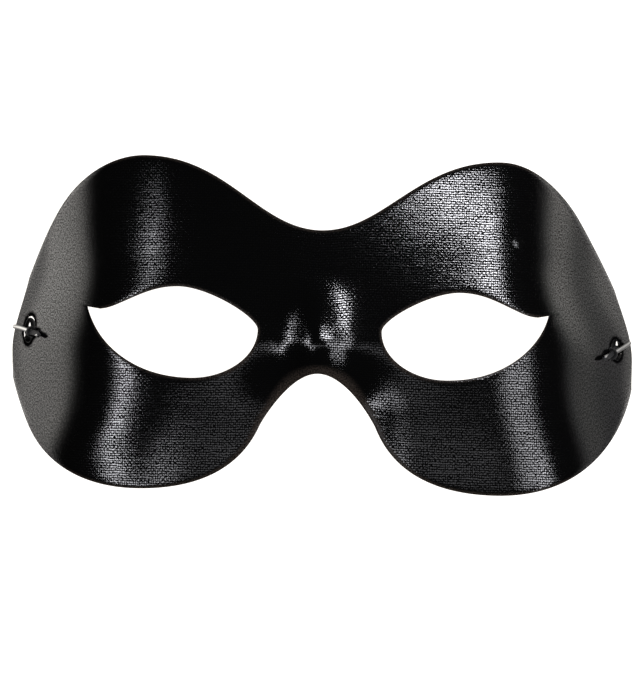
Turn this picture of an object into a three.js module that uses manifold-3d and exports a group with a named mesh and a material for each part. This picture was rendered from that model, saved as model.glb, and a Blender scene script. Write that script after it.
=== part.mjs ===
// A costume eye mask: a stiff moulded shell that covers the brow, the eyes and the upper cheeks,
// with an elastic head cord whose ends are held by two steel barbs.
// The mask lies face up, as it rests on a table: X runs across the face, Y towards the brow and
// Z out of the face. The origin is the middle of the mask on the plane that its temples rest on.
// All sizes are in millimetres.
import * as THREE from "three";
import { mergeVertices } from "three/addons/utils/BufferGeometryUtils.js";
import Module from "manifold-3d";

// Overall sizes of the shell.
const maskWidth = 170;
const maskHeight = 91;
const maskDepth = 42; // of the brow between the eyes, above the table
const wall = 1.2;

// How the front wraps round the face: it is nearly flat in the middle, and each temple turns back
// round a soft fold that stands in from the temple's tip.
const templeLength = 19; // from the fold to the tip, at the eyes' level
const foldRadius = 20;
const foldLean = 0.15; // the folds stand further apart at the cheeks than at the brow
const browFall = 5; // how far the top of the brow leans back
const cheekFall = 4; // how far the foot of the cheeks leans back

// The line along which the front would meet the table, seen from the front. Along the temples it
// follows the outline, so they rest on it, and elsewhere it lies outside, where the rim is clear
// of the table. x is a share of half the width and y of half the height.
const restingLine = [
  { y: -0.88, x: 1.053 },
  { y: -0.3, x: 1 },
  { y: -0.175, x: 1 },
  { y: 0.44, x: 0.927 },
];

// The nose bridge, and the hollow beside it where the cheeks fall back towards the nose. The
// levels where each begins and is full are shares of half the height.
const noseRise = 5;
const noseHalfWidth = 5.2;
const noseLevels = { begins: 0.33, full: -0.154 };
const hollowDepth = 8;
const hollowHalfWidth = 13;
const hollowLevels = { begins: -0.088, full: -0.527 };

// The shell was cut and punched by hand, so its two sides differ by about a millimetre. First the
// eye holes: inner is how far the inner corner is from the middle of the face.
const eyes = [
  { side: -1, width: 46.8, height: 24.8, inner: 16.7, y: -2.65 },
  { side: 1, width: 45.2, height: 23.9, inner: 17.1, y: -2.4 },
];

// Then how far each temple stands to the right of an even one, at its upper and its lower corner.
const templeShifts = [
  { side: -1, upper: -1.7, lower: 0.9 },
  { side: 1, upper: -0.8, lower: 0 },
];
const templeReach = { begins: 45, full: 68 }; // across the face
const upperCorner = { begins: -2, full: 31 }; // towards the brow
const lowerCorner = { middle: -24, spread: 7 };

// The cord holes, as seen from the front.
const cordHoleWidth = 3;
const cordHoleHeight = 7.4;
const cordHoleLean = 7; // degrees, the top leaning towards the nose

// The elastic cord and the steel barbs at its ends.
const cordDiameter = 1.5;
const barbLength = 15;
const barbDiameter = 1.2;
const seatGap = 0.3; // between pieces that touch

// Each side's cord hole, at inset from the temple's tip, and how the barb lies over it: how far
// it has slid up, how far it is pulled towards the nose and how far its outer end is raised.
const barbs = [
  { name: "barb_left", side: -1, inset: 5, holeY: -2.5, slide: -0.4, pull: 0.2, lift: 25 },
  { name: "barb_right", side: 1, inset: 4.4, holeY: -4.8, slide: -0.7, pull: 1.1, lift: 28 },
];

// Fineness of the facets.
const gridStep = 3.3;
const outlinePoints = 9; // on each stretch of the outline
const eyePoints = 8;
const roundSides = 12;
const cordSides = 8;
const cordSteps = 78;

const halfWidth = maskWidth / 2;
const halfHeight = maskHeight / 2;
const trimAllowance = 1.008; // the outline passes a little outside the temples, which are trimmed

// One half of the outline, from the middle of the brow round to the nose. x is a share of half
// the width and y of half the height. dx, dy is the direction of travel in the same shares, and
// before and after are the lengths of the curve's handles along it.
const halfOutline = [
  { x: 0, y: 0.568, dx: 1, dy: 0, before: 0, after: 0.2 }, // dip between the brows
  { x: 0.572, y: 1, dx: 1, dy: 0, before: 0.268, after: 0.123 }, // top of the brow
  { x: 0.83, y: 0.672, dx: 0.06, dy: -0.189, before: 0.7, after: 1.12 },
  { x: trimAllowance, y: -0.158, dx: 0, dy: -1, before: 0.178, after: 0.405 }, // temple
  { x: 0.577, y: -1, dx: -1, dy: 0, before: 0.313, after: 0.177 }, // foot of the cheek
  { x: 0.186, y: -0.609, dx: -0.046, dy: 0.203, before: 1.41, after: 0.12 }, // beside the nose
  { x: 0, y: -0.293, dx: -1, dy: 0, before: 0.093, after: 0 }, // top of the nose notch
];

// The outline of one eye hole, from its outer tip over the lid and back. x is a share of half the
// eye's width and y of half its height, from the eye's middle, and the rest is as above.
const eyeOutline = [
  { x: 1, y: 0.527, dx: -0.158, dy: -0.133, before: 0, after: 1 }, // outer tip
  { x: 0.605, y: 0.626, dx: -0.207, dy: 0.17, before: 0.3, after: 1 },
  { x: -0.063, y: 1, dx: -1, dy: 0, before: 0.28, after: 0.35 }, // top of the lid
  { x: -1, y: 0.081, dx: 0, dy: -1, before: 0.28, after: 0.61 }, // inner corner
  { x: -0.223, y: -1, dx: 1, dy: 0, before: 0.407, after: 0.7 }, // bottom
  { x: 1, y: 0.527, dx: 0.093, dy: 0.758, before: 1, after: 0 }, // outer tip again
];

// The route of the cord along the table, under the shell, from the left hole to the right one:
// across the face, towards the brow, and the height of the cord's underside above the table.
const cordRoute = [
  [-69.6, -5.8, 1.3],
  [-67.2, -7.6, 0.4],
  [-64.6, -10.8, 0.1],
  [-61, -18, 0.1],
  [-56, -26, 0.1],
  [-48, -32, 0.1],
  [-38, -32.5, 0.1],
  [-29, -27.5, 0.1],
  [-21.5, -19, 0.1],
  [-14, -9.5, 0.1],
  [-7, 0.5, 0.1],
  [0, 10.5, 0.1],
  [9, 19, 0.1],
  [20.5, 25.5, 0.1],
  [33, 30.5, 0.1],
  [45, 31.5, 0.1],
  [56, 27.5, 0.1],
  [63.5, 20, 0.1],
  [67, 10.5, 0.1],
  [66.8, 0.5, 0.1],
  [64.2, -9.5, 0.1],
  [61.8, -18.5, 0.1],
  [61.4, -26.5, 0.1],
  [63.4, -31, 0.1],
  [67.2, -32.8, 0.1],
  [71, -31, 0.1],
  [72.9, -26.5, 0.1],
  [72.9, -20.5, 0.1],
  [71.8, -15.2, 0.15],
  [70.6, -11, 0.6],
  [71.4, -8, 1.8],
];

// The points of a smooth path through the rows of an outline table. A negative scaleX draws it
// for the left side, with the points in the opposite order, so that it goes round the same way.
function tracePath(rows, centreX, centreY, scaleX, scaleY, pointsEach) {
  const place = (row, reach) =>
    new THREE.Vector2(centreX + scaleX * (row.x + reach * row.dx), centreY + scaleY * (row.y + reach * row.dy));
  const path = [place(rows[0], 0)];
  for (let i = 1; i < rows.length; i += 1) {
    const from = rows[i - 1];
    const to = rows[i];
    const bend = new THREE.CubicBezierCurve(place(from, 0), place(from, from.after), place(to, -to.before), place(to, 0));
    path.push(...bend.getPoints(pointsEach).slice(1));
  }
  return scaleX < 0 ? path.reverse() : path;
}

// Half the width at which the front meets the table, at level y.
function restingReach(y) {
  const level = THREE.MathUtils.clamp(y / halfHeight, restingLine[0].y, restingLine.at(-1).y);
  const next = Math.max(1, restingLine.findIndex((row) => row.y >= level));
  const from = restingLine[next - 1];
  const to = restingLine[next];
  const share = THREE.MathUtils.smoothstep(level, from.y, to.y);
  return halfWidth * THREE.MathUtils.lerp(from.x, to.x, share);
}

// How far a sheet with two soft folds has turned back at x, when its folds stand at foldX.
function turnedBack(x, foldX) {
  const atMiddle = 2 * Math.hypot(foldX, foldRadius);
  return Math.hypot(x - foldX, foldRadius) + Math.hypot(x + foldX, foldRadius) - atMiddle;
}

// How much of a form shows at level y: none above the level where it begins, all below full.
function shown(levels, y) {
  return THREE.MathUtils.smoothstep(-y, -levels.begins * halfHeight, -levels.full * halfHeight);
}

function bell(x, spread) {
  return Math.exp(-((x / spread) ** 2) / 2);
}

// Height of the front surface above the table.
function frontHeight(x, y) {
  const foldX = halfWidth - templeLength - foldLean * y;
  const wrap = turnedBack(x, foldX) / turnedBack(restingReach(y), foldX);
  const fall = (y > 0 ? browFall : cheekFall) * (y / halfHeight) ** 2;
  const nose = noseRise * bell(x, noseHalfWidth) * shown(noseLevels, y);
  const hollow = hollowDepth * bell(x, hollowHalfWidth) * shown(hollowLevels, y);
  return (maskDepth - fall) * (1 - wrap) + nose - hollow;
}

// How far the shell stands to the right of an even one at x, y.
function templeShift(x, y) {
  const { upper, lower } = templeShifts.find((row) => row.side * x >= 0);
  const atTemple = THREE.MathUtils.smoothstep(Math.abs(x), templeReach.begins, templeReach.full);
  const above = THREE.MathUtils.smoothstep(y, upperCorner.begins, upperCorner.full);
  const below = bell(y - lowerCorner.middle, lowerCorner.spread);
  return atTemple * (upper * above + lower * below);
}

// The direction that the front surface faces.
function frontNormal(x, y) {
  const step = 0.01;
  const slopeX = (frontHeight(x + step, y) - frontHeight(x - step, y)) / (2 * step);
  const slopeY = (frontHeight(x, y + step) - frontHeight(x, y - step)) / (2 * step);
  return new THREE.Vector3(-slopeX, -slopeY, 1).normalize();
}

const wasm = await Module();
wasm.setup();

// A three.js geometry as a solid that can be cut and joined.
function solidFrom(geometry) {
  const bare = geometry.clone();
  bare.deleteAttribute("normal");
  bare.deleteAttribute("uv");
  const merged = mergeVertices(bare, 1e-4);
  return new wasm.Manifold(
    new wasm.Mesh({
      numProp: 3,
      vertProperties: new Float32Array(merged.attributes.position.array),
      triVerts: new Uint32Array(merged.index.array),
    }),
  );
}

function geometryFrom(solid) {
  const mesh = solid.getMesh();
  const positions = new Float32Array(mesh.numVert * 3);
  for (let i = 0; i < mesh.numVert; i += 1) {
    positions.set(mesh.vertProperties.subarray(i * mesh.numProp, i * mesh.numProp + 3), i * 3);
  }
  const geometry = new THREE.BufferGeometry();
  geometry.setAttribute("position", new THREE.BufferAttribute(positions, 3));
  geometry.setIndex(new THREE.BufferAttribute(new Uint32Array(mesh.triVerts), 1));
  return geometry;
}

// The front view of the shell: its outline, two eye holes and two cord holes.
function frontView() {
  const right = tracePath(halfOutline, 0, 0, halfWidth, halfHeight, outlinePoints);
  const left = tracePath(halfOutline, 0, 0, -halfWidth, halfHeight, outlinePoints);
  const shape = new THREE.Shape([...right, ...left.slice(1, -1)]);
  for (const { side, width, height, inner, y } of eyes) {
    const middleX = side * (inner + width / 2);
    const eye = tracePath(eyeOutline, middleX, y, (side * width) / 2, height / 2, eyePoints);
    shape.holes.push(new THREE.Path(eye.slice(1)));
  }
  for (const { side, inset, holeY } of barbs) {
    const hole = new THREE.Path();
    const lean = side * THREE.MathUtils.degToRad(cordHoleLean);
    const holeX = side * (halfWidth - inset);
    hole.absellipse(holeX, holeY, cordHoleWidth / 2, cordHoleHeight / 2, 0, 2 * Math.PI, false, lean);
    shape.holes.push(new THREE.Path(hole.getPoints(roundSides / 2).slice(1)));
  }
  return shape;
}

// The shell. A curved blank is cut to the front view, its two faces are then set the wall apart
// along the surface's own direction, and the temples are trimmed flat where they rest.
function shellGeometry() {
  const blankThickness = 2;
  const blankWidth = maskWidth + 2 * gridStep;
  const blankHeight = maskHeight + 2 * gridStep;
  const across = 2 * Math.round(blankWidth / gridStep / 2);
  const upward = Math.round(blankHeight / gridStep);
  const blank = new THREE.BoxGeometry(blankWidth, blankHeight, blankThickness, across, upward, 1);
  const place = blank.attributes.position;
  for (let i = 0; i < place.count; i += 1) {
    const isFront = place.getZ(i) > 0;
    place.setZ(i, frontHeight(place.getX(i), place.getY(i)) - (isFront ? 0 : blankThickness));
  }
  const cutter = new THREE.ExtrudeGeometry(frontView(), { depth: 6 * maskDepth, bevelEnabled: false });
  cutter.translate(0, 0, -3 * maskDepth);
  const cut = geometryFrom(solidFrom(blank).intersect(solidFrom(cutter)));

  const corner = cut.attributes.position;
  for (let i = 0; i < corner.count; i += 1) {
    const x = corner.getX(i);
    const y = corner.getY(i);
    const height = frontHeight(x, y);
    const front = new THREE.Vector3(x + templeShift(x, y), y, height);
    const isBack = corner.getZ(i) < height - blankThickness / 2;
    if (isBack) front.addScaledVector(frontNormal(x, y), -wall);
    corner.setXYZ(i, front.x, front.y, front.z);
  }
  const above = new THREE.BoxGeometry(2 * maskWidth, 2 * maskHeight, 4 * maskDepth);
  above.translate(0, 0, 2 * maskDepth);
  return geometryFrom(solidFrom(cut).intersect(solidFrom(above)));
}

// Where a barb lies on the shell: the point of the front under its middle, and the directions out
// of the shell, outwards along it and upwards along it.
function barbSeat({ side, inset, holeY, slide, pull }) {
  const x = side * (halfWidth - inset);
  const normal = frontNormal(x, holeY);
  const outward = new THREE.Vector3(side, 0, 0).addScaledVector(normal, -side * normal.x).normalize();
  const upward = new THREE.Vector3().crossVectors(normal, outward).multiplyScalar(side);
  const point = new THREE.Vector3(x, holeY, frontHeight(x, holeY));
  point.addScaledVector(upward, slide).addScaledVector(outward, -pull);
  return { point, normal, outward, upward };
}

// A barb: a round steel pin with domed ends.
function barbGeometry() {
  const radius = barbDiameter / 2;
  const domeSteps = 3;
  const half = [];
  for (let i = 0; i <= domeSteps; i += 1) {
    const turn = (i / domeSteps) * (Math.PI / 2);
    half.push(new THREE.Vector2(radius * Math.sin(turn), -barbLength / 2 + radius * (1 - Math.cos(turn))));
  }
  const otherHalf = half.map((p) => new THREE.Vector2(p.x, -p.y)).reverse();
  return new THREE.LatheGeometry([...half, ...otherHalf], roundSides);
}

// The cord: a round elastic from under one barb, in through the shell, along the table and out
// to the other barb.
function cordGeometry() {
  const straightIn = [0, 2 * cordDiameter, 4.3 * cordDiameter]; // depths behind the front
  const [leftEnd, rightEnd] = barbs.map((barb) => {
    const { point, normal } = barbSeat(barb);
    return straightIn.map((depth) => point.clone().addScaledVector(normal, -depth));
  });
  const middle = cordRoute.map(([x, y, lift]) => new THREE.Vector3(x, y, lift + cordDiameter / 2));
  const path = new THREE.CatmullRomCurve3([...leftEnd, ...middle, ...rightEnd.reverse()]);
  const section = new THREE.Shape();
  section.absarc(0, 0, cordDiameter / 2, 0, 2 * Math.PI);
  const corners = section.getPoints(cordSides).slice(0, cordSides);
  return new THREE.ExtrudeGeometry(new THREE.Shape(corners), { extrudePath: path, steps: cordSteps });
}

function addPiece(group, name, geometry, material) {
  const mesh = new THREE.Mesh(geometry, material);
  mesh.name = name;
  group.add(mesh);
  return mesh;
}

const lacquer = new THREE.MeshStandardMaterial({ color: 0x0b0b0c, roughness: 0.35, metalness: 0 });
const elastic = new THREE.MeshStandardMaterial({ color: 0x101011, roughness: 0.85, metalness: 0 });
const steel = new THREE.MeshStandardMaterial({ color: 0xc9cbcc, roughness: 0.25, metalness: 1 });

const mask = new THREE.Group();
addPiece(mask, "mask_shell", shellGeometry(), lacquer);
addPiece(mask, "elastic_cord", cordGeometry(), elastic);

for (const row of barbs) {
  const { point, normal, outward, upward } = barbSeat(row);
  const lift = THREE.MathUtils.degToRad(row.lift);
  const along = outward.clone().multiplyScalar(Math.cos(lift)).addScaledVector(upward, Math.sin(lift));
  const across = new THREE.Vector3().crossVectors(along, normal);
  const barb = addPiece(mask, row.name, barbGeometry(), steel);
  barb.position.copy(point).addScaledVector(normal, barbDiameter / 2 + seatGap);
  barb.setRotationFromMatrix(new THREE.Matrix4().makeBasis(across, along, normal));
}

export default mask;
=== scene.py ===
# %% [markdown]
# A costume eye mask: woven cloth moulded into a stiff shell and lacquered black, with a round
# elastic that is tied to two steel barbs. This lesson dresses the plain solids of the frame. The
# mask lies face up on a pale table and the camera looks down on it. It is made in this order: the
# camera, the cord, the shell, the finishes, the barbs with their ties, and at the end the studio.

# %% Load the frame
import math

import bmesh
import bpy
import numpy as np
from mathutils import Matrix, Vector
from mathutils.kdtree import KDTree


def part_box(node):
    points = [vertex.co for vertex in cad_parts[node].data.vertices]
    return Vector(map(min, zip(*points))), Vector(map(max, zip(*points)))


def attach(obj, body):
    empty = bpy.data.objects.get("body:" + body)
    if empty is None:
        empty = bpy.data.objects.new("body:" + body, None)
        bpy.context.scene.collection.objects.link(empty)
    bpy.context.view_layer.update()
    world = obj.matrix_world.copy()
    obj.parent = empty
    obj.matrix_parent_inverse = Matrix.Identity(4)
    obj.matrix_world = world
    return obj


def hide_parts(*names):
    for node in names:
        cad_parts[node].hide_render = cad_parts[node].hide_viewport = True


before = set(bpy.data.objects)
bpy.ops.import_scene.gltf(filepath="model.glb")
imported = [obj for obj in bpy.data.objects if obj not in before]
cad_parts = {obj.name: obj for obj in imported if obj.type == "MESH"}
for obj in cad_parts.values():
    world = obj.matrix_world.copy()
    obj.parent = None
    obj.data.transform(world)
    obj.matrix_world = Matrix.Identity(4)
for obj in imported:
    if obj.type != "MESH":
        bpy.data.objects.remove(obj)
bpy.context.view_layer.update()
mm = 0.001
shell_low, shell_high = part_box("mask_shell")
half_width = (shell_high[0] - shell_low[0]) / 2
half_height = (shell_high[1] - shell_low[1]) / 2
print("frame with", len(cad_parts), "nodes")
print("shell", round(2 * half_width / mm, 1), "by", round(2 * half_height / mm, 1), "mm")

# %% [markdown]
# The camera comes first, because every choice of finish is judged through it. The mask is
# photographed from the front, nearly square on: it is turned in the picture by a degree, and the
# camera stands a little to one side. A long lens from far off keeps the brow and the temples at
# one scale, as they are in a catalogue picture.

# %% Place the camera
picture_width, picture_height = 640, 700
mask_middle_in_picture = (320.9, 325.8)
camera_distance = 8
camera_roll = math.radians(1.21)
camera_side = math.radians(1.35)
camera_foot = math.radians(0.5)
face_height = 20 * mm
metres_per_pixel = 0.2731 * mm

camera_data = bpy.data.cameras.new("camera")
camera_data.sensor_fit = "AUTO"
camera_data.sensor_width = 36
long_side = picture_height * metres_per_pixel
camera_data.lens = camera_data.sensor_width * camera_distance / long_side
camera_data.clip_start = 0.1
camera_data.clip_end = 20
camera = bpy.data.objects.new("camera", camera_data)
bpy.context.scene.collection.objects.link(camera)
aim_x = (picture_width / 2 - mask_middle_in_picture[0]) * metres_per_pixel
aim_y = (mask_middle_in_picture[1] - picture_height / 2) * metres_per_pixel
lean = Matrix.Rotation(camera_side, 4, "Y") @ Matrix.Rotation(camera_foot, 4, "X")
turn = lean @ Matrix.Rotation(camera_roll, 4, "Z")
aim = Matrix.Translation((0, 0, face_height)) @ turn @ Matrix.Translation((aim_x, aim_y, camera_distance))
camera.matrix_world = aim
bpy.context.scene.camera = camera
print("lens", round(camera_data.lens), "mm")

# %% [markdown]
# The front of the mask is one smooth surface, and the shell, the barbs and the cord all need it.
# It is a height above the table for each point of the front view: nearly flat over the brow, with
# a soft fold at each temple, a ridge for the nose and a hollow beside it. These are the sizes that
# the frame was made with, so the dressed shell lies in the frame's shell.

# %% The height of the front
mask_depth = 42 * mm
temple_length = 19 * mm
fold_radius = 20 * mm
fold_lean = 0.15
brow_fall = 5 * mm
cheek_fall = 4 * mm
resting_levels = [-0.88, -0.3, -0.175, 0.44]
resting_reaches = [1.053, 1, 1, 0.927]
nose_rise, nose_half_width, nose_levels = 5 * mm, 5.2 * mm, (0.33, -0.154)
hollow_depth, hollow_half_width, hollow_levels = 8 * mm, 13 * mm, (-0.088, -0.527)


def smooth_step(share):
    share = np.clip(share, 0, 1)
    return share * share * (3 - 2 * share)


def resting_reach(y):
    level = np.clip(y / half_height, resting_levels[0], resting_levels[-1])
    reach = np.full_like(level, resting_reaches[0])
    for below, above, start, end in zip(
        resting_levels, resting_levels[1:], resting_reaches, resting_reaches[1:]
    ):
        share = smooth_step((level - below) / (above - below))
        reach = np.where(level >= below, start + (end - start) * share, reach)
    return half_width * reach


def turned_back(x, fold_x):
    at_middle = 2 * np.hypot(fold_x, fold_radius)
    return np.hypot(x - fold_x, fold_radius) + np.hypot(x + fold_x, fold_radius) - at_middle


def shown(levels, y):
    begins, full = levels
    return smooth_step((begins - y / half_height) / (begins - full))


def bell(x, spread):
    return np.exp(-((x / spread) ** 2) / 2)


def front_height(x, y):
    x, y = np.asarray(x, float), np.asarray(y, float)
    fold_x = half_width - temple_length - fold_lean * y
    wrap = turned_back(x, fold_x) / turned_back(resting_reach(y), fold_x)
    fall = np.where(y > 0, brow_fall, cheek_fall) * (y / half_height) ** 2
    nose = nose_rise * bell(x, nose_half_width) * shown(nose_levels, y)
    hollow = hollow_depth * bell(x, hollow_half_width) * shown(hollow_levels, y)
    return (mask_depth - fall) * (1 - wrap) + nose - hollow


def front_normal(x, y, step=0.01 * mm):
    slope_x = (front_height(x + step, y) - front_height(x - step, y)) / (2 * step)
    slope_y = (front_height(x, y + step) - front_height(x, y - step)) / (2 * step)
    normal = np.stack([-slope_x, -slope_y, np.ones_like(slope_x)], axis=-1)
    return normal / np.linalg.norm(normal, axis=-1, keepdims=True)


print("height at the brow", round(float(front_height(0, 0.5 * half_height)) / mm, 1), "mm")

# %% [markdown]
# The shell was cut by hand, so its temples aren't even. Each stands a little to the right of an
# even one, or to the left where the number is negative: first its upper corner, then its lower one.

# %% How the temples stand
left_shifts, right_shifts = (-1.7 * mm, 0.9 * mm), (-0.8 * mm, 0)
temple_begins, temple_full = 45 * mm, 68 * mm
upper_begins, upper_full = -2 * mm, 31 * mm
lower_middle, lower_spread = -24 * mm, 7 * mm


def temple_shift(x, y):
    """How far the shell stands to the right of an even one at each point."""
    upper, lower = (np.where(x < 0, left, right) for left, right in zip(left_shifts, right_shifts))
    at_temple = smooth_step((np.abs(x) - temple_begins) / (temple_full - temple_begins))
    above = smooth_step((y - upper_begins) / (upper_full - upper_begins))
    return at_temple * (upper * above + lower * bell(y - lower_middle, lower_spread))


print("left temple moved by", [round(s / mm, 1) for s in left_shifts], "mm")

# %% [markdown]
# Each end of the cord comes up through a hole in the temple and is tied to a steel barb that lies
# across the hole. The barb's place follows from the surface: its middle is over the hole, and it
# lies along the slope, with the outer end raised a little.

# %% Where the barbs lie
# slide is up the face, pull is towards the nose and lift is the barb's angle in degrees
barb_rows = {
    "barb_left": {
        "side": -1, "hole": (-80 * mm, -2.5 * mm), "slide": -0.4 * mm, "pull": 0.2 * mm, "lift": 25,
    },
    "barb_right": {
        "side": 1, "hole": (80.6 * mm, -4.8 * mm), "slide": -0.7 * mm, "pull": 1.1 * mm, "lift": 28,
    },
}


def hole_seat(side, hole):
    """The middle of a hole on the front, and there the ways out of the shell, outwards and upwards."""
    out = Vector(front_normal(*hole))
    outward = (Vector((side, 0, 0)) - side * out.x * out).normalized()
    return Vector((*hole, float(front_height(*hole)))), out, outward, side * out.cross(outward)


def barb_seat(side, hole, slide, pull, lift):
    """The point of the front under the barb, and the ways out of the shell, along and across it."""
    middle, out, outward, upward = hole_seat(side, hole)
    along = math.cos(math.radians(lift)) * outward + math.sin(math.radians(lift)) * upward
    return middle + slide * upward - pull * outward, out, along, along.cross(out)


seats = {name: barb_seat(**row) for name, row in barb_rows.items()}
for name, (point, out, along, across) in seats.items():
    print(name, "on", [round(c / mm, 1) for c in point], "mm")

# %% [markdown]
# The cord is 1.5 mm round elastic. Nothing holds it up once it is through the hole, so it drops to
# the table in a short curve and lies there in loose bends under the shell. The route is a list of
# given points, the same as in the frame, with a smooth curve through them. A tube that is
# extruded ring by ring along it is better here than a bevelled curve, because each ring can store
# how far along and how far round it is, and the braid of the elastic follows those two numbers.

# %% The route of the cord
cord_route = [
    (-69.6, -5.8, 1.3), (-67.2, -7.6, 0.4), (-64.6, -10.8, 0.1), (-61, -18, 0.1), (-56, -26, 0.1),
    (-48, -32, 0.1), (-38, -32.5, 0.1), (-29, -27.5, 0.1), (-21.5, -19, 0.1), (-14, -9.5, 0.1),
    (-7, 0.5, 0.1), (0, 10.5, 0.1), (9, 19, 0.1), (20.5, 25.5, 0.1), (33, 30.5, 0.1),
    (45, 31.5, 0.1), (56, 27.5, 0.1), (63.5, 20, 0.1), (67, 10.5, 0.1), (66.8, 0.5, 0.1),
    (64.2, -9.5, 0.1), (61.8, -18.5, 0.1), (61.4, -26.5, 0.1), (63.4, -31, 0.1), (67.2, -32.8, 0.1),
    (71, -31, 0.1), (72.9, -26.5, 0.1), (72.9, -20.5, 0.1), (71.8, -15.2, 0.15), (70.6, -11, 0.6),
    (71.4, -8, 1.8),
]


def smooth_path(points, steps_between):
    """A centripetal Catmull-Rom curve through the points."""
    points = [Vector(p) for p in points]
    ends = [2 * points[0] - points[1], *points, 2 * points[-1] - points[-2]]
    path = []
    for before, start, end, after in zip(ends, ends[1:], ends[2:], ends[3:]):
        lead, span, trail = (math.sqrt(d.length) for d in (start - before, end - start, after - end))
        leave = (start - before) / lead - (end - before) / (lead + span) + (end - start) / span
        arrive = (end - start) / span - (after - start) / (span + trail) + (after - end) / trail
        for i in range(steps_between):
            t = i / steps_between
            bend = start * (2 * t**3 - 3 * t**2 + 1) + end * (3 * t**2 - 2 * t**3)
            bend += span * (leave * (t**3 - 2 * t**2 + t) + arrive * (t**3 - t**2))
            path.append(bend)
    return [*path, points[-1]]


print("a route of", len(cord_route), "points")

# %% Sweep a tube along a path
def sweep(path, radius, sides, swell=None):
    """A closed tube along the path. swell gives the share of the radius at each share of its length."""
    work = bmesh.new()
    along_layer = work.verts.layers.float.new("along")
    round_layer = work.verts.layers.float.new("round")
    heading = (path[1] - path[0]).normalized()
    side = heading.orthogonal().normalized()
    lengths = [0]
    for a, b in zip(path, path[1:]):
        lengths.append(lengths[-1] + (b - a).length)
    ring = []
    for i, point in enumerate(path):
        following = path[min(i + 1, len(path) - 1)] - path[max(i - 1, 0)]
        following.normalize()
        side = (heading.rotation_difference(following) @ side).normalized()
        heading = following
        share = lengths[i] / lengths[-1]
        size = radius * (swell(share) if swell else 1)
        place = Matrix((side * size, heading.cross(side) * size, heading)).transposed().to_4x4()
        place.translation = point
        if not ring:
            made = bmesh.ops.create_circle(work, segments=sides, radius=1, matrix=place)["verts"]
            ring = sorted(made, key=lambda v: v.index)
            edges = work.edges[:]
            for j, vert in enumerate(ring):
                vert[round_layer] = j / sides
        else:
            grown = bmesh.ops.extrude_edge_only(work, edges=edges)["geom"]
            edges = [g for g in grown if isinstance(g, bmesh.types.BMEdge)]
            edges = [e for e in edges if e.is_boundary]
            ring = [g for g in grown if isinstance(g, bmesh.types.BMVert)]
            bmesh.ops.transform(work, matrix=place @ last_place.inverted(), verts=ring)
        for vert in ring:
            vert[along_layer] = lengths[i]
        last_place = place
    bmesh.ops.holes_fill(work, edges=[e for e in work.edges if e.is_boundary])
    bmesh.ops.recalc_face_normals(work, faces=work.faces)
    return work


# %% Map the tube
def store_lengthwise_map(work):
    """A UV map whose u runs once round the tube and whose v runs along it, in metres."""
    along_layer = work.verts.layers.float["along"]
    round_layer = work.verts.layers.float["round"]
    uv_layer = work.loops.layers.uv.new("lengthwise")
    for face in work.faces:
        rounds = [loop.vert[round_layer] for loop in face.loops]
        seam = max(rounds) - min(rounds) > 0.5
        for loop, share in zip(face.loops, rounds):
            u = share + 1 if seam and share < 0.5 else share
            loop[uv_layer].uv = (u, loop.vert[along_layer])


# %% Make the cord
cord_diameter = 1.5 * mm
# each end goes straight down through its hole past these depths, in diameters of the cord
straight_depths = (0, 2, 4.3)
cord_ends = [[point - out * depth * cord_diameter for depth in straight_depths]
             for point, out, along, across in seats.values()]
cord_middle = [Vector((x, y, lift)) * mm + Vector((0, 0, cord_diameter / 2)) for x, y, lift in cord_route]
cord_path = smooth_path([*cord_ends[0], *cord_middle, *reversed(cord_ends[1])], steps_between=9)
cord_work = sweep(cord_path, cord_diameter / 2, sides=12)
store_lengthwise_map(cord_work)

# %% [markdown]
# The front view of the shell is drawn as two tables of bends: half of the outline, from the dip
# between the brows round to the nose, and an eye hole. Each row gives a point, the direction of
# travel there and how far its handles reach, in shares of half the width and half the height.
# Thirteen rows are enough, because the curve between two rows is a cubic Bezier curve. The two eye
# holes have the same curve, but the left one is cut a little larger.

# %% The outline and the eye holes
trim_allowance = 1.008
eye_rows = {
    -1: {"width": 46.8 * mm, "height": 24.8 * mm, "inner": 16.7 * mm, "y": -2.65 * mm},
    1: {"width": 45.2 * mm, "height": 23.9 * mm, "inner": 17.1 * mm, "y": -2.4 * mm},
}

# x, y, heading x, heading y, handle before, handle after
half_outline = [
    (0, 0.568, 1, 0, 0, 0.2),
    (0.572, 1, 1, 0, 0.268, 0.123),
    (0.83, 0.672, 0.06, -0.189, 0.7, 1.12),
    (trim_allowance, -0.158, 0, -1, 0.178, 0.405),
    (0.577, -1, -1, 0, 0.313, 0.177),
    (0.186, -0.609, -0.046, 0.203, 1.41, 0.12),
    (0, -0.293, -1, 0, 0.093, 0),
]
eye_outline = [
    (1, 0.527, -0.158, -0.133, 0, 1),
    (0.605, 0.626, -0.207, 0.17, 0.3, 1),
    (-0.063, 1, -1, 0, 0.28, 0.35),
    (-1, 0.081, 0, -1, 0.28, 0.61),
    (-0.223, -1, 1, 0, 0.407, 0.7),
    (1, 0.527, 0.093, 0.758, 1, 0),
]


def trace(rows, middle, reach, steps=60):
    """Points along the curve through the rows, close together, as an array of x and y."""
    t = np.linspace(0, 1, steps, endpoint=False)[:, None]
    points = []
    for start, end in zip(rows, rows[1:]):
        a, d = np.array(start[:2]), np.array(end[:2])
        b = a + start[5] * np.array(start[2:4])
        c = d - end[4] * np.array(end[2:4])
        points.append((1 - t) ** 3 * a + 3 * t * (1 - t) ** 2 * b + 3 * t**2 * (1 - t) * c + t**3 * d)
    points.append(np.array([rows[-1][:2]]))
    return np.array(middle) + np.concatenate(points) * np.array(reach)


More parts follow.
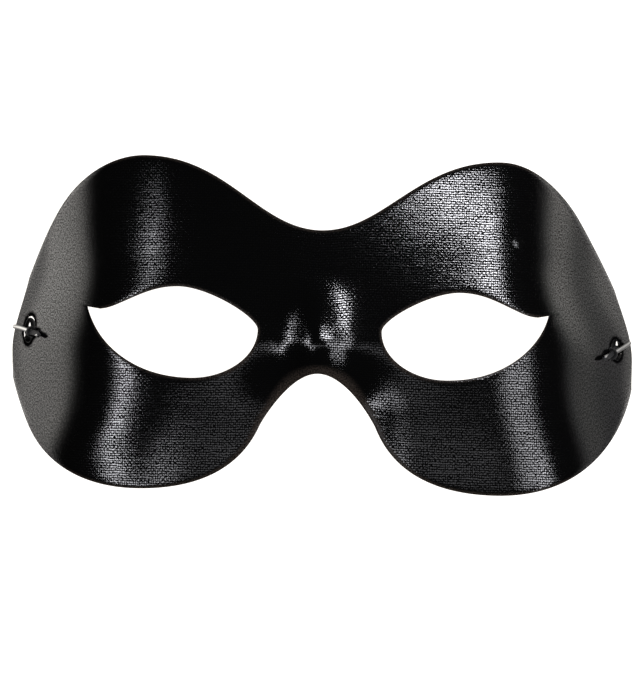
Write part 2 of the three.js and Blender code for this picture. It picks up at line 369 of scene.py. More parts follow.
def evenly(points, pitch):
    """The same line with points about one pitch apart, both ends kept."""
    lengths = np.concatenate([[0], np.cumsum(np.hypot(*np.diff(points, axis=0).T))])
    stations = np.linspace(0, lengths[-1], max(2, round(lengths[-1] / pitch)) + 1)
    return np.stack([np.interp(stations, lengths, points[:, axis]) for axis in (0, 1)], axis=1)


outline = trace(half_outline, (0, 0), (half_width, half_height))
eye_middles, eye_lines = {}, {}
for side, row in eye_rows.items():
    eye_middles[side] = (row["inner"] + row["width"] / 2, row["y"])
    eye_lines[side] = trace(eye_outline, eye_middles[side], (row["width"] / 2, row["height"] / 2))
print("outline", len(outline), "points, each eye", len(eye_lines[1]), "points")

# %% [markdown]
# A moulded shell has no corners except at its rims, so its faces should run along the rims. Half
# of the front is a ring with the eye hole inside and the outline outside: two loops of edges are
# bridged, and the bridge is cut into narrow rings. Drawing the outline on a grid and cutting it
# out would be quicker, but it leaves slivers at the rims, and a lacquered rim shows every sliver.
# The two halves share the corners on the middle line, so they are welded there.

# %% Bridge each eye hole to the outline
face_pitch = 0.95 * mm
ring_cuts = 29
weld_distance = 0.01 * mm


def angles_round(middle, points):
    return np.unwrap(np.arctan2(points[:, 1] - middle[1], points[:, 0] - middle[0]))


rim_points = evenly(outline, face_pitch)
middle_line = evenly(np.array([outline[-1], outline[0]]), face_pitch)[1:-1]
outer_loop = np.concatenate([rim_points, middle_line])

shell_work = bmesh.new()
for side, eye in eye_lines.items():
    eye_angles = angles_round(eye_middles[side], eye)
    outer_angles = angles_round(eye_middles[side], outer_loop)
    outer_angles = eye_angles[0] + (outer_angles - eye_angles[0]) % (2 * math.pi)
    inner_loop = np.stack([np.interp(outer_angles, eye_angles, eye[:, axis]) for axis in (0, 1)], axis=1)
    nearest_tip = np.argmin(np.hypot(*(inner_loop - eye[0]).T))
    inner_loop[nearest_tip] = eye[0]
    rims = []
    for loop in (outer_loop, inner_loop):
        corners = [shell_work.verts.new((side * x, y, 0)) for x, y in loop]
        rims += [shell_work.edges.new(pair) for pair in zip(corners, corners[1:] + corners[:1])]
    bridge = bmesh.ops.bridge_loops(shell_work, edges=rims)["faces"]
    spokes = {edge for face in bridge for edge in face.edges} - set(rims)
    bmesh.ops.subdivide_edges(shell_work, edges=list(spokes), cuts=ring_cuts, use_grid_fill=True)
on_middle = [v for v in shell_work.verts if abs(v.co.x) < weld_distance]
bmesh.ops.remove_doubles(shell_work, verts=on_middle, dist=weld_distance)
bmesh.ops.recalc_face_normals(shell_work, faces=shell_work.faces[:])
if sum(f.normal.z for f in shell_work.faces) < 0:
    bmesh.ops.reverse_faces(shell_work, faces=shell_work.faces[:])
print("the front,", len(shell_work.faces), "faces")

# %% [markdown]
# The holes for the cord are punched, so they aren't level and their rims are frayed. Here the
# faces inside an ellipse are deleted and the corners that are left round the gap move out to the
# ellipse. The frame has both holes alike, but round the right cord the cloth has closed in a
# little. How frayed the cloth is there is kept with each corner, for the finish.

# %% Punch the cord holes
# width and height of each hole, by its side of the face
hole_sizes = {-1: (3 * mm, 7.4 * mm), 1: (2.6 * mm, 5.8 * mm)}
hole_lean = math.radians(7)
# distances from the middle of a hole, where 1 is its rim: as far as the first one corners move
# onto the rim, and as far as the second one the faces are evened out
moved_reach, evened_reach = 2, 2.5
evening_rounds, evening_factor = 3, 0.5
frayed_reach = 0.5
frayed_layer = shell_work.verts.layers.float.new("frayed")


def in_hole(point, side, hole):
    """The point in the ellipse's own frame: its length is 1 on the rim of the hole."""
    flat = Matrix.Rotation(-side * hole_lean, 2) @ (point.xy - Vector(hole))
    width, height = hole_sizes[side]
    return Vector((flat.x / (width / 2), flat.y / (height / 2)))


for row in barb_rows.values():
    side, hole = row["side"], row["hole"]
    width, height = hole_sizes[side]
    punched = [f for f in shell_work.faces if in_hole(f.calc_center_median(), side, hole).length < 1]
    bmesh.ops.delete(shell_work, geom=punched, context="FACES")
    around = [v for v in shell_work.verts if in_hole(v.co, side, hole).length < evened_reach]
    for vert in around:
        place = in_hole(vert.co, side, hole)
        if vert.is_boundary and place.length < moved_reach:
            place.normalize()
            flat = Vector((place.x * width / 2, place.y * height / 2))
            vert.co.xy = Vector(hole) + Matrix.Rotation(side * hole_lean, 2) @ flat
    inside = [v for v in around if not v.is_boundary]
    for _ in range(evening_rounds):
        bmesh.ops.smooth_vert(shell_work, verts=inside, factor=evening_factor, use_axis_x=True,
                              use_axis_y=True)
    for vert in around:
        vert[frayed_layer] = max(0, 1 - (in_hole(vert.co, side, hole).length - 1) / frayed_reach)
print("the front,", len(shell_work.faces), "faces")

# %% [markdown]
# The flat front is lifted onto the height of the real one. The last millimetre or so before each
# rim is pressed a little lower, because a moulded cloth edge is rolled and not square. The distance
# to the rim is kept with each corner, because the finish changes there too: the weave is ironed
# flat along the edges of the face, and the base colour there turns a mottled brown, which is partly
# the rim's own colour and partly a painted warm reflection. Round the notch for the nose this band
# is a few times wider, which widens both the ironed weave and the painted reflection. At the steep
# temples the lacquer has filled the weave right out to the rim, and a second number says how far
# that is so.

# %% Lift the front and roll its rims
rolled_band = 1.3 * mm
ironed_band = (0.1 * mm, 1 * mm)
roll_depth = 0.12 * mm
filling_begins, filling_full = math.radians(36), math.radians(50)
notch_spread, notch_begins, notch_full = 12 * mm, -5 * mm, -15 * mm
# the band round the notch is this many times wider; it carries the painted warm reflection there as well as
# the ironed weave
notch_widening = 4
temple_slope = math.radians(60)
rim_pitch = 0.3 * mm

flat_xy = np.array([v.co.xy for v in shell_work.verts])
flat_x, flat_y = flat_xy.T
heights = front_height(flat_x, flat_y)
rim_lines = np.concatenate([evenly(line, rim_pitch) * (side, 1)
                            for side, eye in eye_lines.items() for line in (outline, eye)])
rim_lifted = np.column_stack([rim_lines, front_height(rim_lines[:, 0], rim_lines[:, 1])])
rim_tree = KDTree(len(rim_lifted))
for i, point in enumerate(rim_lifted):
    rim_tree.insert(point, i)
rim_tree.balance()
rim_layer = shell_work.verts.layers.float.new("rim")
filled_layer = shell_work.verts.layers.float.new("filled")
shifts = temple_shift(flat_x, flat_y)
filling_cosines = math.cos(filling_begins), math.cos(filling_full)
up = front_normal(flat_x, flat_y)[:, 2]
filled_shares = smooth_step((filling_cosines[0] - up) / (filling_cosines[0] - filling_cosines[1]))
below_eyes = smooth_step((notch_begins - flat_y) / (notch_begins - notch_full))
widenings = 1 + notch_widening * bell(flat_x, notch_spread) * below_eyes
for vert, z, aside, share, wider in zip(shell_work.verts, heights, shifts, filled_shares, widenings):
    to_edge = rim_tree.find((vert.co.x, vert.co.y, z))[2]
    to_table = max(0, z) / math.sin(temple_slope)
    to_rim = min(to_edge, to_table)
    drop = max(0, 1 - to_rim / rolled_band)
    vert[rim_layer] = to_rim / wider + share * ironed_band[1]
    vert[filled_layer] = share
    vert.co.x += aside
    vert.co.z = z - roll_depth * drop**2
print("lifted to", round(max(v.co.z for v in shell_work.verts) / mm, 1), "mm")

# %% [markdown]
# The cloth was woven flat and then pressed over the mould, so its threads follow the surface. The
# map for the weave is therefore measured along the surface: u is the length of the path from the
# middle of the face outwards, and v the length of the path from the level of the eyes upwards.

# %% Map the cloth along the surface
path_steps = 80


def surface_length(fixed, end, across):
    """Length along the front from 0 to end, across the face or up it, at one fixed level."""
    stations = np.linspace(0, 1, path_steps)[:, None] * end[None, :]
    level = np.broadcast_to(fixed, stations.shape)
    heights = front_height(stations, level) if across else front_height(level, stations)
    steps = np.hypot(np.diff(stations, axis=0), np.diff(heights, axis=0))
    return np.sign(end) * steps.sum(axis=0)


cloth_u = surface_length(flat_y, flat_x, across=True)
cloth_v = surface_length(flat_x, flat_y, across=False)
cloth_layer = shell_work.loops.layers.uv.new("cloth")
shell_work.verts.index_update()
for face in shell_work.faces:
    for loop in face.loops:
        loop[cloth_layer].uv = (cloth_u[loop.vert.index], cloth_v[loop.vert.index])
print("cloth", round(2 * cloth_u.max() / mm), "mm across the face")

# %% [markdown]
# Now the front gets its wall, and its faces are sorted into three finishes: the lacquered front,
# the bare cloth behind and the cut edge. The shell is trimmed where it would go through the table,
# which leaves the flat stretch of the temples that it rests on. Its sharp rims are bevelled,
# because no moulded edge is knife sharp and a bevel is what catches the light.

# %% Give the shell its wall
wall = 1.2 * mm
rim_bevel = 0.3 * mm
sharp_rim = math.radians(50)
cut_tolerance = 0.001 * mm
front_slot, back_slot, edge_slot = range(3)

front_faces, front_corners = set(shell_work.faces), set(shell_work.verts)
bmesh.ops.solidify(shell_work, geom=list(front_faces), thickness=wall)
for face in shell_work.faces:
    if face in front_faces:
        face.material_index = front_slot
    else:
        face.material_index = edge_slot if front_corners.intersection(face.verts) else back_slot
everything = shell_work.verts[:] + shell_work.edges[:] + shell_work.faces[:]
cut = bmesh.ops.bisect_plane(shell_work, geom=everything, dist=cut_tolerance, plane_co=(0, 0, 0),
                             plane_no=(0, 0, -1), clear_outer=True)["geom_cut"]
open_edges = [g for g in cut if isinstance(g, bmesh.types.BMEdge) and g.is_boundary]
resting = bmesh.ops.edgenet_fill(shell_work, edges=open_edges, mat_nr=edge_slot)["faces"]
bmesh.ops.recalc_face_normals(shell_work, faces=resting)
sharp = [e for e in shell_work.edges if e.is_manifold and e.calc_face_angle() > sharp_rim]
bmesh.ops.bevel(shell_work, geom=sharp, offset=rim_bevel, offset_type="OFFSET", segments=2, profile=0.5,
                affect="EDGES", clamp_overlap=True, material=edge_slot)
open_left = sum(not e.is_manifold for e in shell_work.edges)
print("shell,", len(shell_work.faces), "faces,", len(resting), "resting faces,", open_left, "open edges")

# %% [markdown]
# Every finish below is built from shader nodes by a few small functions. The first turns a colour
# from the sRGB hex value that a colour picker shows into the linear values that a renderer mixes.
# The second adds a node, sets it and links what goes into it. The inputs of a Mix node go by
# number: 0 is the share, 2 and 3 are the two numbers, and 6 and 7 the two colours.

# %% Helpers for the finishes
def linear(hex_colour):
    channels = [int(hex_colour[i : i + 2], 16) / 255 for i in (0, 2, 4)]
    turned = [c / 12.92 if c <= 0.04045 else ((c + 0.055) / 1.055) ** 2.4 for c in channels]
    return (*turned, 1)


def add(tree, kind, inputs, **settings):
    node = tree.nodes.new(kind)
    for name, value in settings.items():
        setattr(node, name, value)
    for socket, value in inputs.items():
        if isinstance(value, bpy.types.NodeSocket):
            tree.links.new(value, node.inputs[socket])
        else:
            node.inputs[socket].default_value = value
    return node


def calculate(tree, operation, *inputs):
    """A Math node: operation is what it does and inputs are what it does it to."""
    return add(tree, "ShaderNodeMath", dict(enumerate(inputs)), operation=operation).outputs[0]


def calculate_vector(tree, operation, *inputs):
    return add(tree, "ShaderNodeVectorMath", dict(enumerate(inputs)), operation=operation).outputs[0]


def new_finish(name):
    material = bpy.data.materials.new(name)
    material.use_nodes = True
    material.node_tree.nodes.clear()
    return material, material.node_tree


def complete(material, inputs):
    """Puts the surface together and makes it what the material shows."""
    tree = material.node_tree
    shader = add(tree, "ShaderNodeBsdfPrincipled", inputs)
    add(tree, "ShaderNodeOutputMaterial", {"Surface": shader.outputs[0]})
    print(material.name, "of", len(tree.nodes), "nodes")


# %% [markdown]
# The cloth is a plain weave: each thread goes over one and under the next. Two sine waves
# multiplied give just that, because their product changes sign from one crossing to the next. The
# positive crossings are where the horizontal thread lies on top, and they are drawn higher, since
# those threads show most on the real mask. A little noise makes the threads wander, and a noise
# that is stretched along them makes the thick places that a spun thread has.

# %% The height of the threads
warp_pitch, weft_pitch = 0.62 * mm, 0.68 * mm
# heights in the weave, where 1 is its full depth
row_height, weft_height, warp_height = 0.4, 0.45, 0.2
flat_crown = 0.8
slub_height = 0.25
# how often each noise changes from one thread to the next
wander_scale = 0.21
slub_scale = (0.06, 0.8, 1)
# how far a thread wanders, in threads
wander_reach = 0.9


def woven_height(tree, threads):
    """The height of the weave at a place, which is measured in threads."""
    wander = add(tree, "ShaderNodeTexNoise", {"Vector": threads, "Scale": wander_scale, "Detail": 3})
    shift = calculate_vector(tree, "SUBTRACT", wander.outputs["Color"], (0.5,) * 3)
    loose = calculate_vector(tree, "MULTIPLY_ADD", shift, (wander_reach,) * 3, threads)
    turned = calculate_vector(tree, "MULTIPLY", loose, (math.pi,) * 3)
    waves = calculate_vector(tree, "SINE", turned)
    wave = add(tree, "ShaderNodeSeparateXYZ", {0: waves}).outputs
    crossing = calculate(tree, "MULTIPLY", wave[0], wave[1])
    weft = add(tree, "ShaderNodeMapRange", {
        "Value": crossing, "From Max": flat_crown, "To Max": weft_height})
    warp = add(tree, "ShaderNodeMapRange", {
        "Value": crossing, "From Max": -flat_crown, "To Max": warp_height})
    crowns = calculate(tree, "ADD", weft.outputs[0], warp.outputs[0])
    rounded = calculate(tree, "ABSOLUTE", wave[1])
    rows = calculate(tree, "MULTIPLY_ADD", rounded, row_height, crowns)
    drawn_out = add(tree, "ShaderNodeMapping", {0: loose, "Scale": slub_scale}).outputs[0]
    thick = add(tree, "ShaderNodeTexNoise", {"Vector": drawn_out, "Scale": 1, "Detail": 2})
    slubs = add(tree, "ShaderNodeMapRange", {
        "Value": thick.outputs[0], "From Min": 0.52, "From Max": 0.75, "To Max": slub_height})
    return calculate(tree, "ADD", rows, slubs.outputs[0])


print("weave of", round(1 / (warp_pitch * 100)), "by", round(1 / (weft_pitch * 100)), "threads in a cm")

# %% [markdown]
# The lacquer lies over the threads and has a fine grain of its own. It fills the weave at the
# temples, and the weave is pressed flat at the rims, so the height is worked out from all of
# these. One thread has a lump at the right brow.

# %% The relief of the cloth
grain_height, lump_height = 0.45, 10
grain_scale = 1.6
open_when_filled, raised_when_ironed = 0.15, 0.35
lump_place = (53.7 * mm, 23.7 * mm, 0)
lump_reach = 1.8 * mm


def woven_relief(tree):
    """The cloth's height, mostly 0 to 1, its grain, how filled it is and how far it isn't ironed."""
    cloth = add(tree, "ShaderNodeUVMap", {}, uv_map="cloth").outputs[0]
    in_threads = (1 / warp_pitch, 1 / weft_pitch, 1)
    threads = add(tree, "ShaderNodeMapping", {0: cloth, "Scale": in_threads}).outputs[0]
    spots = add(tree, "ShaderNodeTexNoise", {"Vector": threads, "Scale": grain_scale, "Detail": 3})
    grain = spots.outputs[0]
    speckle = add(tree, "ShaderNodeMapRange", {
        "Value": grain, "From Min": 0.3, "From Max": 0.7, "To Min": -grain_height, "To Max": grain_height})
    filled = add(tree, "ShaderNodeAttribute", {}, attribute_name="filled").outputs["Fac"]
    open_weave = add(tree, "ShaderNodeMapRange", {"Value": filled, "To Min": 1, "To Max": open_when_filled})
    woven = woven_height(tree, threads)
    relief = calculate(tree, "MULTIPLY_ADD", woven, open_weave.outputs[0], speckle.outputs[0])

    rim = add(tree, "ShaderNodeAttribute", {}, attribute_name="rim").outputs["Fac"]
    raised = add(tree, "ShaderNodeMapRange", {
        "Value": rim, "From Min": ironed_band[0], "From Max": ironed_band[1], "To Min": raised_when_ironed,
    }, interpolation_type="SMOOTHSTEP").outputs[0]
    pressed = calculate(tree, "MULTIPLY", relief, raised)
    place = add(tree, "ShaderNodeTexCoord", {})
    flat = calculate_vector(tree, "MULTIPLY", place.outputs["Object"], (1, 1, 0))
    away = add(tree, "ShaderNodeVectorMath", {0: flat, 1: lump_place}, operation="DISTANCE")
    lump = add(tree, "ShaderNodeMapRange", {
        "Value": away.outputs["Value"], "From Max": lump_reach, "To Min": lump_height, "To Max": 0,
    }, interpolation_type="SMOOTHSTEP")
    height = calculate(tree, "ADD", pressed, lump.outputs[0])
    return height, grain, filled, raised


print("a lump", round(lump_reach / mm, 1), "mm wide to each side")

# %% [markdown]
# The front is cotton cloth that was stiffened, moulded and sprayed with black lacquer. The lacquer
# fills the gaps between the threads, so the eye sees a black surface with a small glossy point on
# each crown. That is a dark base under a clear coat. The rim was pressed between the halves of the
# mould, and it is smoother and duller. Its mottled brown is partly the rim's own colour and partly a
# painted warm reflection, which is widest round the notch for the nose.

# %% Lacquered cloth
threads_depth, coat_depth = 0.06 * mm, 0.013 * mm
rim_gloss, dull_grain = 0.1, 0.18
ironed_roughness, lacquer_roughness = 0.3, 0.12
lacquered, tree = new_finish("lacquered_woven_cloth")
height, grain, filled, raised = woven_relief(tree)
# Near the rim the base colour turns a mottled brown: partly the rim's own colour, partly a painted warm
# reflection.
mottled = add(tree, "ShaderNodeMapRange", {"Value": grain, "From Min": 0.38, "From Max": 0.62})
blackened = add(tree, "ShaderNodeMix", {0: raised, 2: mottled.outputs[0], 3: 1})
body_tone = add(tree, "ShaderNodeMix", {0: blackened.outputs[0], 6: linear("312b26"), 7: linear("030303")},
                data_type="RGBA")
threads_bump = add(tree, "ShaderNodeBump", {"Height": height, "Distance": threads_depth, "Strength": 1})
coat_bump = add(tree, "ShaderNodeBump", {"Height": height, "Distance": coat_depth, "Strength": 1})
on_crowns = add(tree, "ShaderNodeMapRange", {"Value": height, "From Min": 0.46, "From Max": 0.68},
                interpolation_type="SMOOTHSTEP")
on_grain = add(tree, "ShaderNodeMapRange", {
    "Value": grain, "From Min": 0.41, "From Max": 0.59, "To Min": dull_grain})
either = add(tree, "ShaderNodeMix", {0: filled, 2: on_crowns.outputs[0], 3: on_grain.outputs[0]})
at_rim = add(tree, "ShaderNodeMapRange", {"Value": raised, "To Min": rim_gloss, "To Max": 0})
glossy = calculate(tree, "MAXIMUM", either.outputs[0], at_rim.outputs[0])
frayed = add(tree, "ShaderNodeAttribute", {}, attribute_name="frayed").outputs["Fac"]
whole = add(tree, "ShaderNodeMapRange", {
    "Value": frayed, "From Min": 0.1, "From Max": 0.5, "To Min": 1, "To Max": 0})
coat = calculate(tree, "MULTIPLY", glossy, whole.outputs[0])
blurred = add(tree, "ShaderNodeMapRange", {
    "Value": raised, "To Min": ironed_roughness, "To Max": lacquer_roughness})
complete(lacquered, {
    "Base Color": body_tone.outputs[2], "Roughness": 0.55, "Specular IOR Level": 0,
    "Normal": threads_bump.outputs[0], "Coat Weight": coat, "Coat Roughness": blurred.outputs[0],
    "Coat IOR": 1.5, "Coat Normal": coat_bump.outputs[0]})

# %% [markdown]
# Behind, the cloth is bare: black cotton, dull, with the same threads. The cut edge shows the
# stiffened core, which is a dark grey, rough line.

# %% Bare cloth and cut edge
bare_cloth, tree = new_finish("bare_black_cotton")
height = woven_relief(tree)[0]
bump = add(tree, "ShaderNodeBump", {"Height": height, "Distance": 0.12 * mm, "Strength": 1})
complete(bare_cloth, {
    "Base Color": linear("141413"), "Roughness": 0.92, "Sheen Weight": 0.25, "Normal": bump.outputs[0]})

fibre_pitch = 0.5 * mm
cut_edge, tree = new_finish("cut_stiffened_cloth")
place = add(tree, "ShaderNodeTexCoord", {})
fibres = add(tree, "ShaderNodeTexNoise", {
    "Vector": place.outputs["Object"], "Scale": 1 / fibre_pitch, "Detail": 3})
bump = add(tree, "ShaderNodeBump", {"Height": fibres.outputs[0], "Distance": 0.08 * mm, "Strength": 1})
complete(cut_edge, {
    "Base Color": linear("1a1816"), "Roughness": 0.7, "Normal": bump.outputs[0]})

# %% Make the shell a piece
def piece_from(work, name, slot, *materials):
    mesh = bpy.data.meshes.new(name)
    work.to_mesh(mesh)
    work.free()
    mesh.shade_smooth()
    for material in materials:
        mesh.materials.append(material)
    piece = bpy.data.objects.new(name, mesh)
    bpy.context.scene.collection.objects.link(piece)
    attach(piece, "root")
    print(name, len(mesh.polygons), "faces")
    return piece


shell = piece_from(shell_work, "shell", "lacquered_cloth", lacquered, bare_cloth, cut_edge)
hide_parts("mask_shell")

# %% [markdown]
# The elastic is a rubber core under a braid of black polyester. The braid is two sets of yarns
# that wind opposite ways, with a groove between every two yarns of a set, so its relief is the
# lower of two slanted waves on the tube's own map. It is dull, with the faint sheen of fine fibres.

# %% Braided elastic
braid_pitch = 1.9 * mm
yarns_each_way = 6
elastic, tree = new_finish("braided_black_elastic")
lengthwise = add(tree, "ShaderNodeUVMap", {}, uv_map="lengthwise")
parts = add(tree, "ShaderNodeSeparateXYZ", {0: lengthwise.outputs[0]})
round_turn = calculate(tree, "MULTIPLY", parts.outputs[0], yarns_each_way * math.pi)
along_turn = yarns_each_way * math.pi / braid_pitch
yarns = []
for direction in (1, -1):
    slant = calculate(tree, "MULTIPLY_ADD", parts.outputs[1], direction * along_turn, round_turn)
    yarns.append(calculate(tree, "ABSOLUTE", calculate(tree, "SINE", slant)))
braid = calculate(tree, "MINIMUM", *yarns)
bump = add(tree, "ShaderNodeBump", {"Height": braid, "Distance": 0.12 * mm, "Strength": 1})
complete(elastic, {
    "Base Color": linear("040404"), "Roughness": 0.5, "Specular IOR Level": 0.2, "Sheen Weight": 0.01,
    "Normal": bump.outputs[0]})

# %% [markdown]
# The barbs are bits of zinc-plated steel wire, cut and slightly bent. Plated wire mirrors what is
# round it, a little blurred, with fine marks along it where it was drawn through the die. Its colour
# is painted: dark for the dark reflections at its sides, with a painted highlight along the side
# that faces up to the camera.

# %% Plated steel with a painted highlight
# how often the marks change round the wire, and how often in a metre along it
marks_scale = (14, 1 / (4 * mm), 1)
plated, tree = new_finish("zinc_plated_steel_wire")
lengthwise = add(tree, "ShaderNodeUVMap", {}, uv_map="lengthwise")
drawn = add(tree, "ShaderNodeMapping", {0: lengthwise.outputs[0], "Scale": marks_scale})
marks = add(tree, "ShaderNodeTexNoise", {"Vector": drawn.outputs[0], "Scale": 1, "Detail": 4})
bump = add(tree, "ShaderNodeBump", {"Height": marks.outputs[0], "Distance": 0.03 * mm, "Strength": 1})
dulled = add(tree, "ShaderNodeMapRange", {"Value": marks.outputs[0], "To Min": 0.18, "To Max": 0.4})
# Painted highlight: a bright colour along the side of the wire that faces up to the camera, and a dark one
# elsewhere for painted dark reflections.
painted_highlight = add(tree, "ShaderNodeAttribute", {}, attribute_name="painted_highlight")
tone = add(tree, "ShaderNodeMix", {0: painted_highlight.outputs["Fac"], 6: linear("1c1c1d"), 7: linear("a4a4a2")},
           data_type="RGBA")
complete(plated, {
    "Base Color": tone.outputs[2], "Metallic": 1, "Roughness": dulled.outputs[0], "Normal": bump.outputs[0]})

# %% [markdown]
# A barb is swept like the cord, along a path that bows a little, with its ends drawn in to a dome.

# %% Make the barbs
barb_length = 15 * mm
barb_diameter = 1.2 * mm
seat_gap = 0.3 * mm
barb_bow, bow_outward = 0.35 * mm, 0.4
barb_steps, barb_tip = 40, 0.1
# from this share of facing up to the camera, the wire gets the painted highlight
painted_highlight_from = 0.75


def wire_middle(seat):
    """The middle of the wire that lies on a seat, a small gap above the cloth."""
    point, out, along, across = seat
    return point + out * (barb_diameter / 2 + seat_gap)


def domed(share):
    """Full in the middle and rounded over half a diameter at each end."""
    from_end = min(share, 1 - share) * barb_length / (barb_diameter / 2)
    return max(barb_tip, math.sqrt(1 - (1 - min(from_end, 1)) ** 2))


for name, seat in seats.items():
    _, out, along, across = seat
    barb_path = []
    for i in range(barb_steps + 1):
        reach = math.sin((i / barb_steps - 0.5) * math.pi)
        bow = barb_bow * reach * reach
        step = along * (reach * barb_length / 2) + out * bow * bow_outward - across * bow
        barb_path.append(wire_middle(seat) + step)
    barb_work = sweep(barb_path, barb_diameter / 2, sides=24, swell=domed)
    store_lengthwise_map(barb_work)
    # Each corner keeps how far it faces up to the camera, and that share of it is painted as a highlight.
    painted_highlight_layer = barb_work.verts.layers.float.new("painted_highlight")
    painted_highlight_side = Vector((across.z, out.z)).normalized()
    barb_work.normal_update()
    for vert in barb_work.verts:
        rise = painted_highlight_side.dot(Vector((vert.normal.dot(across), vert.normal.dot(out))))
        vert[painted_highlight_layer] = max(0, (rise - painted_highlight_from) / (1 - painted_highlight_from))
    piece_from(barb_work, name + "_wire", "plated_steel", plated)
    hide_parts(name)

# %% [markdown]
# The elastic is tied to each barb. Its end is bound along the inner part of the wire, which makes
# that part black, a loop goes over the wire and down through the hole, and a knot behind the
# shell, too large for the hole, fills most of it as the camera sees it. The knot is a trefoil.

# %% The binding and the loop
tie_diameter = 0.9 * mm
# The rest is in millimetres from the wire's middle: along the wire, across it and out of the shell.
binding_begins, binding_length = -2.6, 5.6
binding_bow, binding_raised = 0.2025, 0.1
binding_steps = 24
winding_begins, winding_advance = -2, 0.1
winding_radius = (barb_diameter + tie_diameter) / 2 / mm + 0.06
winding_turns = [math.radians(angle) for angle in range(-30, 211, 30)]
tie_rise = [(0.6, 0.6, -3.2), (-0.1, -0.6, -2.1), (-1.2, -1.35, -1.2)]
tie_back = [(-2.8, 1.4, -1.3), (-2.1, 0.9, -2.4), (-0.4, 0.2, -3.4)]


def round_wire(seat, places):
    _, out, along, across = seat
    on_wire = Matrix((along, across, out)).transposed() * mm
    return [wire_middle(seat) + on_wire @ Vector(place) for place in places]


def binding_path(seat):
    places = []
    for i in range(binding_steps + 1):
        share = i / binding_steps
        bow = binding_bow * (2 * share - 1) ** 2
        places.append((binding_begins - binding_length * share, -bow, binding_raised))
    return round_wire(seat, places)


def tie_path(seat):
    winding = []
    for i, turn in enumerate(winding_turns):
        aside, raised_by = -winding_radius * math.cos(turn), winding_radius * math.sin(turn)
        winding.append((winding_begins - winding_advance * i, aside, raised_by))
    return smooth_path(round_wire(seat, [*tie_rise, *winding, *tie_back]), steps_between=4)


# %% The knot
knot_half_width, knot_half_height = 2.2 * mm, 3.9 * mm
knot_depth = 2.1 * mm
knot_raised = 0.2 * mm
knot_relief = 0.45 * mm
knot_radius = 0.72 * tie_diameter
knot_steps = 72


def knot_path(side, hole):
    """A trefoil behind the hole, moved outwards to where the camera sees it through the hole."""
    middle, out, outward, upward = hole_seat(side, hole)
    seen_through = outward * (knot_depth * math.hypot(out.x, out.y) / out.z)
    knot_middle = middle - out * knot_depth + seen_through + upward * knot_raised
    path = []
    for i in range(knot_steps + 1):
        turn = 2 * math.pi * i / knot_steps
        aside = outward * (math.sin(turn) + 2 * math.sin(2 * turn)) * knot_half_width / 3
        upright = upward * (2 * math.cos(2 * turn) - math.cos(turn)) * knot_half_height / 3
        path.append(knot_middle + aside + upright - out * knot_relief * math.sin(3 * turn))
    return path


# %% Tie the elastic to the barbs
binding_thickness = 0.13 * mm
binding_radius = barb_diameter / 2 + binding_thickness
binding_tip, binding_pointed = 0.12, 0.35


def pointed(share):
    """The binding is full for two thirds of its length and then drawn to a point."""
    return min(1, max(binding_tip, math.sqrt((1 - share) / binding_pointed)))


def add_tie(name, path, radius, sides, swell=None):
    work = sweep(path, radius, sides, swell)
    store_lengthwise_map(work)
    piece_from(work, name, "braided_elastic", elastic)


for name, seat in seats.items():
    side_name = name.split("_")[1]
    row = barb_rows[name]
    add_tie("binding_" + side_name, binding_path(seat), binding_radius, sides=14, swell=pointed)
    add_tie("tie_" + side_name, tie_path(seat), tie_diameter / 2, sides=10)
    add_tie("knot_" + side_name, knot_path(row["side"], row["hole"]), knot_radius, sides=10)

# %% Make the cord a piece
cord = piece_from(cord_work, "cord", "braided_elastic", elastic)
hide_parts("elastic_cord")

# %% [markdown]
# The studio is a pale table and a few soft boxes. The catalogue picture has a ground so bright that
# it is pure white, also through the eye holes, so the table glows by itself, evenly as far as the
# picture reaches. Beyond that only the steep temples mirror it, and that is what turns them grey.
# There the table glows most towards the brow, and it is dimmer next to the right temple and far
# off on the left. The flat brow mirrors the dark ceiling. Each soft box shows as a band where the
# surface leans half way to it, so the places and shapes of the bands in the photograph give the
# boxes.

# %% The table top
table_half_size = 3
table_mesh = bpy.data.meshes.new("table_top")
table_work = bmesh.new()
bmesh.ops.create_grid(table_work, x_segments=1, y_segments=1, size=table_half_size)
table_work.to_mesh(table_mesh)
table_work.free()
table = bpy.data.objects.new("table_top", table_mesh)
bpy.context.scene.collection.objects.link(table)
print("table", 2 * table_half_size, "m wide")

# %% The glow of the table
glow_in_picture = 1.3
picture_edge, side_begins = 86 * mm, 92 * mm
# place across the table in mm, and how brightly it glows there
side_glow = [
    (-400, 0.5), (-140, 2.5), (-90, 2.5), (88, 0.95), (108, 0.95), (135, 3.2), (200, 3.8), (400, 2),
]
table_reach = 400 * mm
# a colour ramp holds shares, so it holds the glow as a share of this
full_glow = 4
# the glow rises from the foot of the picture to the brow, in a direction a little to the left
brow_direction = (-0.25, 1, 0)
foot_end, brow_end = -45 * mm, 40 * mm
foot_share, brow_share = 0.2, 1.2

table_paint, tree = new_finish("lit_white_board")
place = add(tree, "ShaderNodeTexCoord", {})
parts = add(tree, "ShaderNodeSeparateXYZ", {0: place.outputs["Object"]})
across = add(tree, "ShaderNodeMapRange", {
    "Value": parts.outputs[0], "From Min": -table_reach, "From Max": table_reach})
profile = add(tree, "ShaderNodeValToRGB", {0: across.outputs[0]})
stops = profile.color_ramp.elements
while len(stops) < len(side_glow):
    stops.new(0.5)
for stop, (x, level) in zip(stops, side_glow):
    stop.position = (x * mm + table_reach) / (2 * table_reach)
    stop.color = (level / full_glow, level / full_glow, level / full_glow, 1)
to_brow = add(tree, "ShaderNodeVectorMath", {0: place.outputs["Object"], 1: brow_direction},
              operation="DOT_PRODUCT")
upward_glow = add(tree, "ShaderNodeMapRange", {
    "Value": to_brow.outputs["Value"], "From Min": foot_end, "From Max": brow_end,
    "To Min": foot_share * full_glow, "To Max": brow_share * full_glow})
beside = calculate(tree, "MULTIPLY", profile.outputs[0], upward_glow.outputs[0])
aside = calculate(tree, "ABSOLUTE", parts.outputs[0])
outside = add(tree, "ShaderNodeMapRange", {
    "Value": aside, "From Min": picture_edge, "From Max": side_begins})
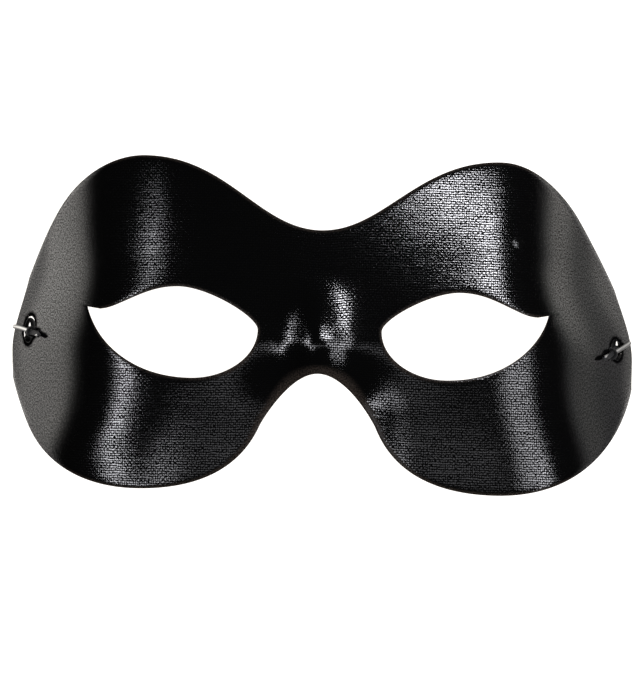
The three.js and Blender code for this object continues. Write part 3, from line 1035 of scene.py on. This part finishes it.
strength = add(tree, "ShaderNodeMix", {0: outside.outputs[0], 2: glow_in_picture, 3: beside})
complete(table_paint, {
    "Base Color": linear("6a6a6a"), "Roughness": 0.9, "Specular IOR Level": 0,
    "Emission Color": linear("fffbf5"), "Emission Strength": strength.outputs[0]})
table_mesh.materials.append(table_paint)

# %% The soft lights
light_distance = 1.1
room_glow = 0.008


def soft_light(name, lean_x, lean_y, spin, width, height, watts):
    """A soft box that faces the mask. Its leans are from straight up, to the right and to the brow."""
    light = bpy.data.lights.new(name, "AREA")
    light.shape = "RECTANGLE"
    light.size, light.size_y, light.energy = width, height, watts
    light.color = linear("f9f9ff")[:3]
    lamp = bpy.data.objects.new(name, light)
    bpy.context.scene.collection.objects.link(lamp)
    away = Vector((math.tan(math.radians(lean_x)), math.tan(math.radians(lean_y)), 1)).normalized()
    upward = away.cross(Vector((1, 0, 0))).normalized()
    place = Matrix((upward.cross(away), upward, away)).transposed().to_4x4()
    place.translation = away * light_distance
    lamp.matrix_world = place @ Matrix.Rotation(math.radians(spin), 4, "Z")


soft_light("right_soft_box", lean_x=31, lean_y=20.5, spin=-9, width=0.74, height=0.13, watts=17)
soft_light("right_dim_box", lean_x=49, lean_y=-8, spin=0, width=0.4, height=0.42, watts=6)
soft_light("left_strip", lean_x=-41, lean_y=-16, spin=44, width=0.15, height=0.8, watts=8)
soft_light("left_dim_strip", lean_x=-44, lean_y=10, spin=-35, width=0.14, height=0.3, watts=2)
soft_light("foot_box", lean_x=-20, lean_y=-21, spin=0, width=0.16, height=0.24, watts=1.1)
soft_light("nose_strip", lean_x=60.6, lean_y=-39.3, spin=-27, width=0.13, height=0.62, watts=4)
soft_light("foot_glow", lean_x=6, lean_y=-15, spin=0, width=1.0, height=0.24, watts=1.2)

world = bpy.data.worlds.new("studio")
world.use_nodes = True
room = world.node_tree.nodes["Background"].inputs
room["Color"].default_value = linear("bfc0c2")
room["Strength"].default_value = room_glow
bpy.context.scene.world = world
bpy.context.scene.view_settings.view_transform = "Standard"
print(len(bpy.data.lights), "soft lights")
